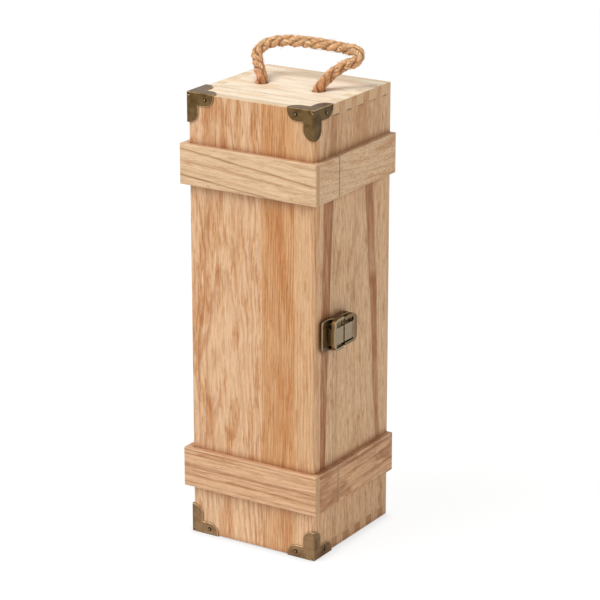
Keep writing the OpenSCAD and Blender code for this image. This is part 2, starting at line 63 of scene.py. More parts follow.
# The photograph's angle, with the lens unshifted so that other views stay centred
cameraLook = {"place": (1.0083, -1.5805, 0.8034), "turn": 32.31, "tilt": 18.31, "lens": 155.1,
              "sensor": 36, "far": 20}

camera = bpy.data.objects.new("camera", bpy.data.cameras.new("camera"))
scene.collection.objects.link(camera)
camera.data.lens = cameraLook["lens"]
camera.data.sensor_width = cameraLook["sensor"]
camera.data.clip_end = cameraLook["far"]
camera.location = cameraLook["place"]
camera.rotation_euler = (math.radians(90 - cameraLook["tilt"]), 0, math.radians(cameraLook["turn"]))
scene.camera = camera
print("camera done")


def toLinear(hexColour):  # sRGB hex to the linear values that the shaders take
    parts = [int(hexColour[i:i + 2], 16) / 255 for i in (1, 3, 5)]
    return [p / 12.92 if p <= 0.04045 else ((p + 0.055) / 1.055) ** 2.4 for p in parts] + [1]


def put(tree, kind, settings=None, links=None, out=0):  # adds a node with its settings and links
    node = tree.nodes.new("ShaderNode" + kind)
    for key, value in (settings or {}).items():
        if key == "stops":
            ramp = node.color_ramp
            ramp.elements.remove(ramp.elements[1])
            for index, (place, colour) in enumerate(value):
                stop = ramp.elements[0] if index == 0 else ramp.elements.new(place)
                stop.position = place
                stop.color = toLinear(colour)
        elif isinstance(key, str) and hasattr(node, key):
            setattr(node, key, value)
        elif isinstance(value, str):
            node.inputs[key].default_value = toLinear(value)
        else:
            node.inputs[key].default_value = value
    for key, source in (links or {}).items():
        tree.links.new(source, node.inputs[key])
    return node.outputs[out] if len(node.outputs) else node


def newMaterial(name):  # an empty material and its node tree
    material = bpy.data.materials.new(name)
    material.use_nodes = True
    material.node_tree.nodes.clear()
    return material, material.node_tree


def dress(material, *names):  # gives CAD nodes a material
    for name in names:
        slots = cadNodes[name].data.materials
        slots.clear()
        slots.append(material)


# Planed pine, waxed: a pale ground, fine brown growth lines and short darker strokes where the
# plane has cut through the early wood. Growth rings lie round a pith that runs nearly along the board,
# so a flat board shows arches over the pith and close straight lines away from it.
# Every number here is in millimetres of the real box, or a share from 0 to 1.
pineLook = {
    "grain": "z", "across": "x", "through": "y",
    "early": "#dcb68e", "late": "#b57d4e", "stain": "#cb9463", "endGrain": "#c79f76",
    "pithAcross": 0, "pithThrough": -30, "pithLean": 0.0, "pithDip": 0.0, "ringWidth": 2.4, "ringShare": 0.5,
    "ringTone": [(0.0, "#4a4a4a"), (0.1, "#000000"), (0.5, "#222222"), (0.86, "#ffffff"), (1.0, "#4a4a4a")],
    "fadeWide": 14, "fadeLong": 110, "wander": 5.0, "wanderWide": 34, "wanderLength": 90,
    "ripple": 1.2, "rippleWide": 7, "rippleLong": 30,
    "strokeShare": 0.4, "strokeWide": 1.3, "strokeLong": 13, "strokeFrom": 0.5, "strokeSoft": 0.12,
    "strokeEven": 0.3,
    "stainShare": 0.55, "stainWide": 9, "stainLong": 60, "stainFrom": 0.52, "stainSoft": 0.16,
    "fibreLong": 22, "poresPerMm": 1.4, "poreLong": 6,
    "streaks": (), "seed": 0.0, "begins": -1000,
}
streakLook = {"share": 0.6, "soft": 1.0, "sway": 3.0, "wave": 60, "ragged": 0.5, "only": (-999, 999),
              "fade": 4, "patch": 25, "patchWide": 2.4, "broken": 0.3}


def streak(ends, places, wide, colour, **changes):  # ends and widths in mm: along the grain, then across it
    route = {"ends": ends, "from": places[0], "to": places[1], "wide": wide, "colour": colour}
    return {**streakLook, **route, **changes}


def layStreak(tree, band, colour, seeded, ripple, along, across):  # a coloured band along the grain
    start, finish = band["ends"]
    run = (band["to"] - band["from"]) / (finish - start)
    widthRun = (band["wide"][1] - band["wide"][0]) / 2 / (finish - start)
    swayPlace = {"Scale": (0, 0, 1 / band["wave"]), "Location": (band["from"] * 0.37, 0, 0)}
    sway = put(tree, "Mapping", swayPlace, {"Vector": seeded})
    sway = put(tree, "TexNoise", {"Scale": 1.0, "Detail": 2.0}, {"Vector": sway})
    slant = {"operation": "MULTIPLY_ADD", 1: run, 2: band["from"] - run * start - band["sway"] / 2}
    middle = put(tree, "Math", slant, {0: along})
    middle = put(tree, "Math", {"operation": "MULTIPLY_ADD", 1: band["sway"]}, {0: sway, 2: middle})
    ragged = put(tree, "SeparateXYZ", links={0: ripple})
    ragged = put(tree, "Math", {"operation": "MULTIPLY_ADD", 1: band["ragged"]}, {0: ragged, 2: across})
    away = put(tree, "Math", {"operation": "SUBTRACT"}, {0: ragged, 1: middle})
    away = put(tree, "Math", {"operation": "ABSOLUTE"}, {0: away})
    widen = {"operation": "MULTIPLY_ADD", 1: widthRun, 2: band["wide"][0] / 2 - widthRun * start}
    half = put(tree, "Math", widen, {0: along})
    inside = put(tree, "Math", {"operation": "SUBTRACT"}, {0: half, 1: away})
    edge = {"interpolation_type": "SMOOTHSTEP", "From Min": -band["soft"], "From Max": band["soft"],
            "To Max": band["share"]}
    inside = put(tree, "MapRange", edge, {0: inside})
    patchPlace = {"Scale": (1 / band["patchWide"], 1 / band["patchWide"], 1 / band["patch"]),
                  "Location": (band["from"], 3.1, 0)}
    patchy = put(tree, "Mapping", patchPlace, {"Vector": seeded})
    patchy = put(tree, "TexNoise", {"Scale": 1.0, "Detail": 4.0, "Roughness": 0.6}, {"Vector": patchy})
    breaks = {"From Min": 0.38, "From Max": 0.6, "To Min": 1 - band["broken"], "To Max": 1.0}
    patchy = put(tree, "MapRange", breaks, {0: patchy})
    inside = put(tree, "Math", {"operation": "MULTIPLY"}, {0: inside, 1: patchy})
    for end, sign in zip(band["only"], (1, -1)):  # kept to one length of the board, with soft ends
        near = put(tree, "Math", {"operation": "MULTIPLY_ADD", 1: sign, 2: -sign * end}, {0: along})
        near = put(tree, "MapRange", {"From Min": -band["fade"], "From Max": band["fade"]}, {0: near})
        inside = put(tree, "Math", {"operation": "MULTIPLY"}, {0: inside, 1: near})
    return put(tree, "Mix", {"data_type": "RGBA", 7: band["colour"]}, {0: inside, 6: colour}, out=2)


def pineFigure(tree, look, inMm, axes):  # the colour of one stave, and the height of its surface
    along, across, through = axes[look["grain"]], axes[look["across"]], axes[look["through"]]
    board = put(tree, "CombineXYZ", links={0: across, 1: through, 2: along})
    shift = (look["seed"], look["seed"] * 2.3, look["seed"] * 7.1)  # another part of the noise for each stave
    seeded = put(tree, "VectorMath", {"operation": "ADD", 1: shift}, {0: board})

    # the grain wanders slowly along the board, with a small quick ripple
    slowScale = (1 / look["wanderWide"], 1 / look["wanderWide"], 1 / look["wanderLength"])
    slow = put(tree, "Mapping", {"Scale": slowScale}, {"Vector": seeded})
    slow = put(tree, "TexNoise", {"Scale": 1.0, "Detail": 2.0}, {"Vector": slow}, out=1)
    bend = {"operation": "MULTIPLY_ADD", 1: (look["wander"] * 2,) * 3, 2: (-look["wander"],) * 3}
    wander = put(tree, "VectorMath", bend, {0: slow})
    quickScale = (1 / look["rippleWide"], 1 / look["rippleWide"], 1 / look["rippleLong"])
    quick = put(tree, "Mapping", {"Scale": quickScale}, {"Vector": seeded})
    quick = put(tree, "TexNoise", {"Scale": 1.0, "Detail": 3.0, "Roughness": 0.6}, {"Vector": quick}, out=1)
    shake = {"operation": "MULTIPLY_ADD", 1: (look["ripple"] * 2,) * 3, 2: (-look["ripple"],) * 3}
    ripple = put(tree, "VectorMath", shake, {0: quick})
    moved = put(tree, "VectorMath", {"operation": "ADD"}, {0: board, 1: wander})
    moved = put(tree, "VectorMath", {"operation": "ADD"}, {0: moved, 1: ripple})
    spot = put(tree, "SeparateXYZ", links={0: moved}).node

    # growth rings: distance from the leaning pith, cut into a soft rise and a sharp dark edge
    pithSettings = [{"operation": "MULTIPLY_ADD", 1: look["pithLean"], 2: look["pithAcross"]},
                    {"operation": "MULTIPLY_ADD", 1: look["pithDip"], 2: look["pithThrough"]}]
    pith = [put(tree, "Math", settings, {0: along}) for settings in pithSettings]
    offset = [put(tree, "Math", {"operation": "SUBTRACT"}, {0: spot.outputs[i], 1: pith[i]}) for i in (0, 1)]
    offset = put(tree, "CombineXYZ", links={0: offset[0], 1: offset[1]})
    radius = put(tree, "VectorMath", {"operation": "LENGTH"}, {0: offset}, out=1)
    rings = put(tree, "Math", {"operation": "DIVIDE", 1: look["ringWidth"]}, {0: radius})
    phase = put(tree, "Math", {"operation": "FRACT"}, {0: rings})
    ring = put(tree, "ValToRGB", {"stops": look["ringTone"]}, {0: phase})
    fadeScale = (1 / look["fadeWide"], 1 / look["fadeWide"], 1 / look["fadeLong"])
    uneven = put(tree, "Mapping", {"Scale": fadeScale}, {"Vector": seeded})
    uneven = put(tree, "TexNoise", {"Scale": 1.0, "Detail": 2.0}, {"Vector": uneven})
    fading = {"From Min": 0.32, "From Max": 0.66, "To Min": 0.15, "To Max": 1.0}
    uneven = put(tree, "MapRange", fading, {0: uneven})
    ring = put(tree, "Math", {"operation": "MULTIPLY"}, {0: ring, 1: uneven})
    ring = put(tree, "Math", {"operation": "MULTIPLY", 1: look["ringShare"]}, {0: ring})

    # warm stains, and short strokes that crowd inside them
    stainScale = (1 / look["stainWide"], 1 / look["stainWide"], 1 / look["stainLong"])
    blotch = put(tree, "Mapping", {"Scale": stainScale}, {"Vector": moved})
    blotch = put(tree, "TexNoise", {"Scale": 1.0, "Detail": 3.0, "Roughness": 0.55}, {"Vector": blotch})
    cloudy = {"interpolation_type": "SMOOTHSTEP", "From Min": look["stainFrom"],
              "From Max": look["stainFrom"] + look["stainSoft"]}
    stain = put(tree, "MapRange", cloudy, {0: blotch})
    gather = {"operation": "MULTIPLY_ADD", 1: 1 - look["strokeEven"], 2: look["strokeEven"]}
    crowd = put(tree, "Math", gather, {0: stain})
    stain = put(tree, "Math", {"operation": "MULTIPLY", 1: look["stainShare"]}, {0: stain})
    strokeScale = (1 / look["strokeWide"], 1 / look["strokeWide"], 1 / look["strokeLong"])
    stroke = put(tree, "Mapping", {"Scale": strokeScale}, {"Vector": moved})
    stroke = put(tree, "TexNoise", {"Scale": 1.0, "Detail": 4.0, "Roughness": 0.62}, {"Vector": stroke})
    dashed = {"interpolation_type": "SMOOTHSTEP", "From Min": look["strokeFrom"],
              "From Max": look["strokeFrom"] + look["strokeSoft"]}
    stroke = put(tree, "MapRange", dashed, {0: stroke})
    stroke = put(tree, "Math", {"operation": "MULTIPLY"}, {0: stroke, 1: crowd})
    stroke = put(tree, "Math", {"operation": "MULTIPLY", 1: look["strokeShare"]}, {0: stroke})

    colour = put(tree, "Mix", {"data_type": "RGBA", 6: look["early"], 7: look["stain"]}, {0: stain}, out=2)
    for band in look["streaks"]:
        colour = layStreak(tree, band, colour, seeded, ripple, along, across)
    for mark in (ring, stroke):
        colour = put(tree, "Mix", {"data_type": "RGBA", 7: look["late"]}, {0: mark, 6: colour}, out=2)

    # fibres and pores are finer than a pixel, so they are drawn about 1 mm apart
    fibre = put(tree, "Mapping", {"Scale": (1.0, 1.0, 1 / look["fibreLong"])}, {"Vector": seeded})
    fibre = put(tree, "TexNoise", {"Scale": 1.0, "Detail": 3.0, "Roughness": 0.65}, {"Vector": fibre})
    poreScale = (look["poresPerMm"], look["poresPerMm"], 1 / look["poreLong"])
    pore = put(tree, "Mapping", {"Scale": poreScale}, {"Vector": seeded})
    pore = put(tree, "TexNoise", {"Scale": 1.0, "Detail": 1.0}, {"Vector": pore})
    pitted = {"From Min": 0.58, "From Max": 0.72, "To Min": 1.0, "To Max": 0.86}
    pore = put(tree, "MapRange", pitted, {0: pore})
    fibrous = {"From Min": 0.3, "From Max": 0.7, "To Min": 0.86, "To Max": 1.1}
    shade = put(tree, "MapRange", fibrous, {0: fibre})
    for dimming in (shade, pore):
        colour = put(tree, "VectorMath", {"operation": "SCALE"}, {0: colour, "Scale": dimming})

    # sawn ends of the fibres: the rings with no long grain
    facing = put(tree, "SeparateXYZ", links={0: put(tree, "TexCoord", out=1)}).node
    grainFacing = facing.outputs["xyz".index(look["grain"])]
    endFace = put(tree, "Math", {"operation": "ABSOLUTE"}, {0: grainFacing})
    endFace = put(tree, "MapRange", {"From Min": 0.7, "From Max": 0.9}, {0: endFace})
    speck = put(tree, "TexNoise", {"Scale": 0.8, "Detail": 3.0}, {"Vector": inMm})
    speckled = {"From Min": 0.3, "From Max": 0.7, "To Min": 0.84, "To Max": 1.1}
    speck = put(tree, "MapRange", speckled, {0: speck})
    ends = put(tree, "Mix", {"data_type": "RGBA", 6: look["endGrain"], 7: look["late"]}, {0: ring}, out=2)
    ends = put(tree, "VectorMath", {"operation": "SCALE"}, {0: ends, "Scale": speck})
    colour = put(tree, "Mix", {"data_type": "RGBA"}, {0: endFace, 6: colour, 7: ends}, out=2)
    height = put(tree, "Math", {"operation": "MULTIPLY_ADD", 1: 0.6}, {0: fibre, 2: stroke})
    return colour, height


# Painted light on the pine: a brown painted shade in the inner corners and where the bands meet the boards,
# and a pale painted highlight along the eased edges.
# Reaches are in metres.
waxAndPaintedLightLook = {"cornerShade": "#a4714b", "cornerShadeShare": 0.62, "cornerShadeReach": 0.006, "edgeHighlight": "#f6dcbb", "edgeHighlightShare": 0.5,
           "grainDepth": 0.00012, "smoothest": 0.46, "roughest": 0.62}


def drawJoint(tree, colour, joint, inMm, axes):  # the dark line under every second finger of the corner joint
    steps = {"operation": "MULTIPLY_ADD", 1: 1 / joint["pitch"], 2: -joint["start"] / joint["pitch"]}
    finger = put(tree, "Math", {"operation": "FRACT"}, {0: put(tree, "Math", steps, {0: axes["y"]})})
    finger = put(tree, "Math", {"operation": "LESS_THAN", 1: 0.5}, {0: finger})
    near = put(tree, "Math", {"operation": "COMPARE", 1: joint["height"], 2: joint["wide"]}, {0: axes["z"]})
    near = put(tree, "Math", {"operation": "MULTIPLY"}, {0: near, 1: finger})
    worn = put(tree, "TexNoise", {"Scale": 0.07, "Detail": 2.0}, {"Vector": inMm})
    fading = {"From Min": 0.38, "From Max": 0.62, "To Min": 0.15, "To Max": 0.95}
    worn = put(tree, "MapRange", fading, {0: worn})
    near = put(tree, "Math", {"operation": "MULTIPLY"}, {0: near, 1: worn})
    return put(tree, "Mix", {"data_type": "RGBA", 7: joint["colour"]}, {0: near, 6: colour}, out=2)


def planedPine(name, *staves, edgeRound=0.0009, joint=None):  # staves glued side by side, from low to high
    material, tree = newMaterial(name)
    place = put(tree, "TexCoord", out=3)
    inMm = put(tree, "VectorMath", {"operation": "SCALE", "Scale": mmPerMetre}, {0: place})
    axes = dict(zip("xyz", put(tree, "SeparateXYZ", links={0: inMm}).node.outputs))
    colour = height = None
    for changes in staves:
        look = {**pineLook, **staves[0], **changes}
        newColour, newHeight = pineFigure(tree, look, inMm, axes)
        if colour is None:
            colour, height = newColour, newHeight
            continue
        side = put(tree, "Math", {"operation": "GREATER_THAN", 1: look["begins"]}, {0: axes[look["across"]]})
        colour = put(tree, "Mix", {"data_type": "RGBA"}, {0: side, 6: colour, 7: newColour}, out=2)
        height = put(tree, "Mix", {}, {0: side, 2: height, 3: newHeight})
    if joint:
        colour = drawJoint(tree, colour, joint, inMm, axes)

    # painted shade in the inner corners, then a painted highlight on the eased edges
    corner = put(tree, "AmbientOcclusion", {"samples": 5, "Distance": waxAndPaintedLightLook["cornerShadeReach"]}, out=1)
    tucked = {"From Min": 0.9, "From Max": 0.45, "To Max": waxAndPaintedLightLook["cornerShadeShare"]}
    corner = put(tree, "MapRange", tucked, {0: corner})
    cornerShading = {"data_type": "RGBA", "blend_type": "MULTIPLY", 7: waxAndPaintedLightLook["cornerShade"]}
    colour = put(tree, "Mix", cornerShading, {0: corner, 6: colour}, out=2)
    eased = put(tree, "Bevel", {"samples": 6, "Radius": edgeRound})
    plain = put(tree, "NewGeometry", out=1)
    agree = put(tree, "VectorMath", {"operation": "DOT_PRODUCT"}, {0: eased, 1: plain}, out=1)
    # a pale painted highlight where the rounded edge turns away from the face
    highlightRange = {"From Min": 0.985, "From Max": 0.88, "To Max": waxAndPaintedLightLook["edgeHighlightShare"]}
    edgeHighlight = put(tree, "MapRange", highlightRange, {0: agree})
    colour = put(tree, "Mix", {"data_type": "RGBA", 7: waxAndPaintedLightLook["edgeHighlight"]}, {0: edgeHighlight, 6: colour}, out=2)

    relief = {"Strength": 0.5, "Distance": waxAndPaintedLightLook["grainDepth"]}
    surface = put(tree, "Bump", relief, {"Height": height, "Normal": eased})
    polish = {"To Min": waxAndPaintedLightLook["smoothest"], "To Max": waxAndPaintedLightLook["roughest"]}
    rough = put(tree, "MapRange", polish, {0: height})
    shader = put(tree, "BsdfPrincipled", {"Specular IOR Level": 0.4},
                 {"Base Color": colour, "Roughness": rough, "Normal": surface})
    put(tree, "OutputMaterial", links={"Surface": shader})
    return material


# The front board is three staves: a flamed one on the left, an orange one, and a plain pale one.
flame = {"ragged": 3, "broken": 0.6, "patch": 12}
lowPale = {"share": 0.35, "only": (-10, 37), "broken": 0.3}
frontPine = planedPine(
    "planedPineFront",
    {"early": "#e3bb93", "late": "#aa6935", "stain": "#cc9058", "endGrain": "#e6cfab",
     "pithAcross": -22, "pithThrough": -16, "pithLean": -0.03, "pithDip": 0.03,
     "ringWidth": 2.6, "ringShare": 0.55, "wander": 5.0, "wanderLength": 110,
     "strokeShare": 0.72, "strokeWide": 1.0, "strokeLong": 19, "strokeFrom": 0.47, "strokeEven": 0.42,
     "stainShare": 0.6, "stainWide": 7, "stainLong": 32, "stainFrom": 0.46, "seed": 3.0,
     "streaks": (
         streak((60, 120), (-44, -36), (9, 8), "#bd7a42",
                **{**flame, "share": 0.55, "soft": 3, "broken": 0.7, "only": (74, 112)}),
         streak((130, 165), (-53, -40), (5, 4), "#b8753e", **flame, share=0.65, soft=2, only=(132, 168)),
         streak((185, 215), (-46, -38), (5, 4), "#bd7a42", **flame, share=0.6, soft=2, only=(186, 214)),
         streak((155, 182), (-16, -12), (5, 6), "#bd7a42", **flame, share=0.55, soft=2, only=(158, 182)),
         streak((200, 270), (-14, -10), (3, 3), "#bd7a42",
                share=0.5, soft=1.5, ragged=2, broken=0.6, patch=16, only=(200, 268)),
         streak((312, 350), (-38, -32), (9, 7), "#c08048",
                **{**flame, "share": 0.5, "soft": 3, "broken": 0.7, "only": (312, 350)}),
         streak((0, 40), (0, 0), (160, 160), "#f0cda6", **{**lowPale, "share": 0.5}),
         streak((0, 38), (-26, -22), (12, 10), "#c28450",
                share=0.6, soft=3, ragged=2, broken=0.5, only=(-10, 40)))},
    {"begins": 9.3, "early": "#d7a574",
     "pithAcross": -60, "pithThrough": -60, "pithLean": 0.02, "pithDip": 0.0,
     "ringWidth": 2.1, "ringShare": 0.8, "wander": 2.0,
     "strokeWide": 0.9, "strokeLong": 20, "strokeShare": 0.65, "strokeEven": 0.5,
     "stainFrom": 0.44, "stainLong": 60, "stainWide": 6, "stainShare": 0.6, "seed": 8.0,
     "streaks": (
         streak((205, 275), (26, 22), (12, 10), "#bf7436",
                **{**flame, "share": 0.5, "soft": 4, "patch": 20, "only": (208, 272), "fade": 10}),
         streak((85, 150), (27, 31), (14, 11), "#bf7436",
                **{**flame, "share": 0.5, "soft": 4, "patch": 20, "only": (88, 150), "fade": 10}),
         streak((0, 40), (0, 0), (160, 160), "#f0cda6", **lowPale),
         streak((0, 36), (31, 31), (10, 10), "#bf7a40",
                share=0.45, soft=3, ragged=2, broken=0.5, only=(-10, 38)))},
    {"begins": 38.0, "early": "#ddb286", "pithAcross": -40, "pithThrough": -90,
     "ringWidth": 2.6, "ringShare": 0.6, "strokeShare": 0.45, "strokeEven": 0.4,
     "stainShare": 0.3, "seed": 14.0},
)
dress(frontPine, "lid_front_panel")

# The sides: a red-brown streak runs down beside the saw cut and another near the back.
reddish = "#924c0d"
orange = "#bd8350"
sidePine = planedPine(
    "planedPineSide",
    {"across": "y", "through": "x",
     "early": "#dfb88f", "late": "#a46c40", "stain": "#c3905d", "endGrain": "#ecd2ab",
     "pithThrough": 20, "pithLean": 0.03, "pithDip": -0.03, "ringWidth": 3.4, "ringShare": 0.3, "wander": 6.0,
     "strokeShare": 0.7, "strokeWide": 1.05, "strokeLong": 10, "strokeEven": 0.65, "strokeFrom": 0.48,
     "stainShare": 0.45, "stainWide": 8, "stainLong": 50, "seed": 11.0,
     "streaks": (
         streak((70, 277), (-42, -34.4), (7, 13.4), reddish, share=0.9, only=(60, 300), sway=3, broken=0.45),
         streak((70, 277), (-39.4, -28.8), (1.0, 2.0), "#70401f",
                share=0.6, soft=0.6, only=(60, 300), sway=1),
         streak((200, 300), (25.6, 17.2), (1.0, 1.6), "#854c22",
                share=0.6, soft=0.6, only=(196, 300), sway=3),
         streak((277, 350), (-31, -26), (10, 9), "#a56634", share=0.68, soft=1.6, only=(300, 360)),
         streak((70, 200), (38, 31), (6, 10), reddish, share=0.85, only=(60, 205), sway=4, broken=0.5),
         streak((200, 300), (30, 22), (10, 12), reddish,
                share=0.84, broken=0.5, soft=1.5, only=(196, 300), sway=4),
         streak((0, 350), (4, 2), (3, 3), orange, share=0.45, soft=2.0, sway=5),
         streak((0, 180), (-24, -22), (4, 3), orange, share=0.45, soft=2.0, only=(0, 180), sway=4),
         streak((300, 350), (8, 8), (80, 80), "#b4855a", share=0.4, soft=4.0, only=(308, 360), broken=0.8),
         streak((310, 350), (13, 14), (12, 15), orange, share=0.5, soft=4.0, only=(310, 350)))},
    joint={"pitch": 17.2727, "start": -46, "height": 341.6, "wide": 0.75, "colour": "#69432a"},
)
dress(sidePine, "case_left_side", "case_right_side", "lid_left_side", "lid_right_side")

backPine = planedPine(
    "planedPineBack",
    {"endGrain": "#e6cfab", "pithAcross": 30, "pithThrough": 80, "pithDip": 0.05, "ringWidth": 3.2,
     "strokeShare": 0.6, "seed": 21.0})
dress(backPine, "case_back_panel")

# The top is the palest board, with the saw cut's gap painted across it as a dark line of shade; the base is
# browner.
sawCut = 0.4  # mm, as in the part
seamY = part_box("case_top")[0].y * mmPerMetre - sawCut / 2
paleTop = {
    "grain": "x", "across": "y", "through": "z",
    "early": "#fbead0", "late": "#d0a06e", "stain": "#efcb9d", "endGrain": "#d9b388",
    "pithAcross": -20, "pithThrough": 290, "pithLean": 0.05,
    "ringWidth": 3.6, "ringShare": 0.3, "wander": 4.0, "strokeShare": 0.35,
    "stainShare": 0.6, "stainWide": 10, "stainLong": 45, "stainFrom": 0.5, "seed": 31.0,
    "streaks": (
        # the saw cut's gap, painted as a brown line of shade
        streak((-55, 55), (seamY, seamY), (1.3, 1.3), "#b5845a",
               share=0.85, soft=0.4, sway=0, ragged=0, broken=0.4),
        streak((-55, 55), (-38, -37), (2.0, 1.6), "#d3a473", share=0.5, soft=1.0),
        streak((-55, 55), (34, 38), (10, 7), "#dcae7c", share=0.45, soft=4.0, broken=0.8),
        streak((-55, 55), (-14, -12), (3, 2), "#d9ad7c", share=0.35, soft=1.5, broken=0.7))}
dress(planedPine("planedPineTop", paleTop), "lid_top", "case_top")
brownBase = {**paleTop, "early": "#d5b489", "endGrain": "#ba885c", "late": "#a06d44",
             "streaks": (), "seed": 36.0}
dress(planedPine("planedPineBase", brownBase), "lid_bottom", "case_bottom")

# The bands: their grain runs level, and the shade inside the saw cut is painted as a dark line where it
# crosses their sides.
bandRound = 0.0012  # m
thin = {"soft": 0.5, "sway": 2, "ragged": 0.4, "broken": 0.5}
# the saw cut's gap, painted as a near-black line of shade
sawLine = streak((-60, 54), (200, 200), (999, 999), "#3a2415",
                 share=0.9, sway=0, ragged=0, only=(seamY - 0.7, seamY + 0.7), fade=0.3, broken=0.2)

slantLine = "#966038"
upperBandPine = planedPine(
    "planedPineUpperBand",
    {"grain": "x", "across": "z", "through": "y", "early": "#e0bf98", "late": "#ad7a50", "stain": "#d0a377",
     "pithAcross": 250, "pithThrough": 20, "pithLean": -0.1, "ringWidth": 3.8, "ringShare": 0.5,
     "wander": 1.8, "wanderLength": 160,
     "strokeShare": 0.5, "strokeWide": 0.8, "strokeLong": 9, "strokeEven": 0.6,
     "stainShare": 0.35, "stainWide": 5, "stainLong": 60, "seed": 41.0,
     "streaks": (
         streak((-60, 60), (308, 295), (1.1, 0.9), slantLine, **thin, share=0.8),
         streak((-60, 60), (299, 289), (0.8, 0.7), slantLine, **thin, share=0.45),
         streak((-60, 60), (288, 277), (1.4, 0.9), slantLine, **thin, share=0.85))},
    edgeRound=bandRound)
dress(upperBandPine, "lid_upper_band_front")

upperSidePine = planedPine(
    "planedPineUpperSideBand",
    {"grain": "y", "across": "z", "through": "x", "early": "#dfbc95", "late": "#a8754b", "stain": "#cc9864",
     "pithAcross": 230, "pithThrough": 20, "pithLean": -0.12,
     "ringWidth": 4.2, "ringShare": 0.4, "wander": 4.0,
     "strokeShare": 0.5, "strokeWide": 1.0, "strokeLong": 3.5, "strokeEven": 0.7, "strokeFrom": 0.48,
     "stainShare": 0.5, "stainWide": 6, "stainLong": 30, "seed": 47.0,
     "streaks": (
         streak((-60, 54), (276, 282), (3, 4), "#b57c4b", share=0.55, soft=1.5, broken=0.7),
         streak((20, 54), (303, 308), (3, 6), "#b57c4b", share=0.6, soft=2, broken=0.5, only=(26, 60)),
         streak((-60, -20), (301, 300), (2, 3), "#b98352", share=0.4, soft=1.5, broken=0.6, only=(-60, -24)),
         sawLine)},
    edgeRound=bandRound)
dress(upperSidePine, *[n for n in cadNodes if n.endswith(("upper_band_left", "upper_band_right"))])

brownLine = "#96572f"
lowerBandPine = planedPine(
    "planedPineLowerBand",
    {"grain": "x", "across": "z", "through": "y", "early": "#dfb58c", "late": "#a2663c", "stain": "#c4895a",
     "pithAcross": -30, "pithThrough": 10, "pithLean": 0.02, "ringWidth": 2.9, "ringShare": 0.5,
     "wander": 1.6, "wanderLength": 120,
     "strokeShare": 0.6, "strokeWide": 0.8, "strokeLong": 12, "strokeEven": 0.5,
     "stainShare": 0.5, "stainWide": 4, "stainLong": 50, "seed": 53.0,
     "streaks": (
         streak((-60, 60), (68.4, 67.8), (0.9, 0.6), brownLine, **{**thin, "sway": 1}),
         streak((-60, 60), (65.2, 64.6), (1.0, 0.7), brownLine, **{**thin, "sway": 1}),
         streak((-60, 60), (56.0, 54.4), (3.0, 1.6), brownLine, **{**thin, "share": 0.8, "soft": 0.9}),
         streak((-60, 60), (52.5, 51.5), (0.8, 0.9), brownLine, **{**thin, "sway": 1}),
         streak((-60, 60), (48.3, 47.5), (1.6, 1.6), brownLine, **{**thin, "share": 0.7, "soft": 0.7}),
         streak((-60, 60), (42.0, 41.4), (1.0, 0.8), brownLine, **{**thin, "sway": 1}))},
    edgeRound=bandRound)
dress(lowerBandPine, "lid_lower_band_front")

redBrownLine = "#875332"
lowerSidePine = planedPine(
    "planedPineLowerSideBand",
    {"grain": "y", "across": "z", "through": "x", "early": "#dcae84", "late": "#8a5634", "stain": "#b07a4f",
     "pithAcross": -10, "pithThrough": 10, "pithLean": 0.06,
     "ringWidth": 3.8, "ringShare": 0.42, "wander": 3.0,
     "strokeShare": 0.55, "strokeWide": 0.9, "strokeLong": 6, "strokeEven": 0.5,
     "stainShare": 0.65, "stainWide": 7, "stainLong": 26, "stainFrom": 0.43, "seed": 59.0,
     "streaks": (
         streak((-60, 54), (66, 67), (1.6, 2.4), redBrownLine, **thin, share=0.6),
         streak((-60, 54), (56, 60), (2.0, 1.6), redBrownLine, **thin, share=0.5),
         streak((-60, 54), (47, 50), (1.4, 1.6), redBrownLine, **thin, share=0.45),
         streak((-50, -28), (41, 42), (4.0, 3.0), "#7c4a2e",
                soft=1.6, share=0.75, ragged=1.2, only=(-46, -34)),
         streak((-60, 54), (50, 56), (60, 60), "#a56d44",
                share=0.45, soft=4, only=(-60, -30), fade=8, broken=0.4),
         sawLine)},
    edgeRound=bandRound)
dress(lowerSidePine, *[n for n in cadNodes if n.endswith(("lower_band_left", "lower_band_right"))])
print("wood done")

# Pressed steel plated in antique brass: brown lacquer with dark patina in the hollows, worn bright and
# painted with a highlight along the folds and rims. The latch's faces are painted lit and shaded by their
# facing and depth.
# Reaches and edges are in metres. A latch plate's tones run from inside to outside, between two distances
# in mm from the box's middle.
bracketLook = {"dark": "#574126", "body": "#77603f", "rubbedHighlight": "#e0c096", "rough": 0.4, "edge": 0.0008,
               "reach": 0.003, "deepest": 0.45}
floorLitBracketLook = {**bracketLook, "dark": "#7a6044", "body": "#9b7f5e"}  # painted paler for the bottom brackets, as lit by light from the white floor
baseLook = {**bracketLook, "reach": 0.009, "deepest": 0.12}  # the hollow under the lever painted near-black as its shade
# On the latch, the front colour and the tones are painted light and shade: lit gold front faces, a lit grey,
# and dark painted shade deep inside.
latchLook = {"dark": "#57452a", "body": "#7b6642", "rubbedHighlight": "#c9b48a", "rough": 0.36, "edge": 0.0006,
             "reach": 0.004, "deepest": 0.3, "front": "#8f7048", "between": (60, 70),
             "tones": [(0.1, "#52402a"), (0.28, "#5c4930"), (0.38, "#9c8a72"), (0.46, "#a5947e"),
                       (0.48, "#826a4c")]}
loopLook = {**latchLook, "front": "#9c7e55", "between": (50, 70),
            "tones": [(0.35, "#66523a"), (0.58, "#6f5b41"), (0.68, "#9a8970"), (0.73, "#a3937b")]}


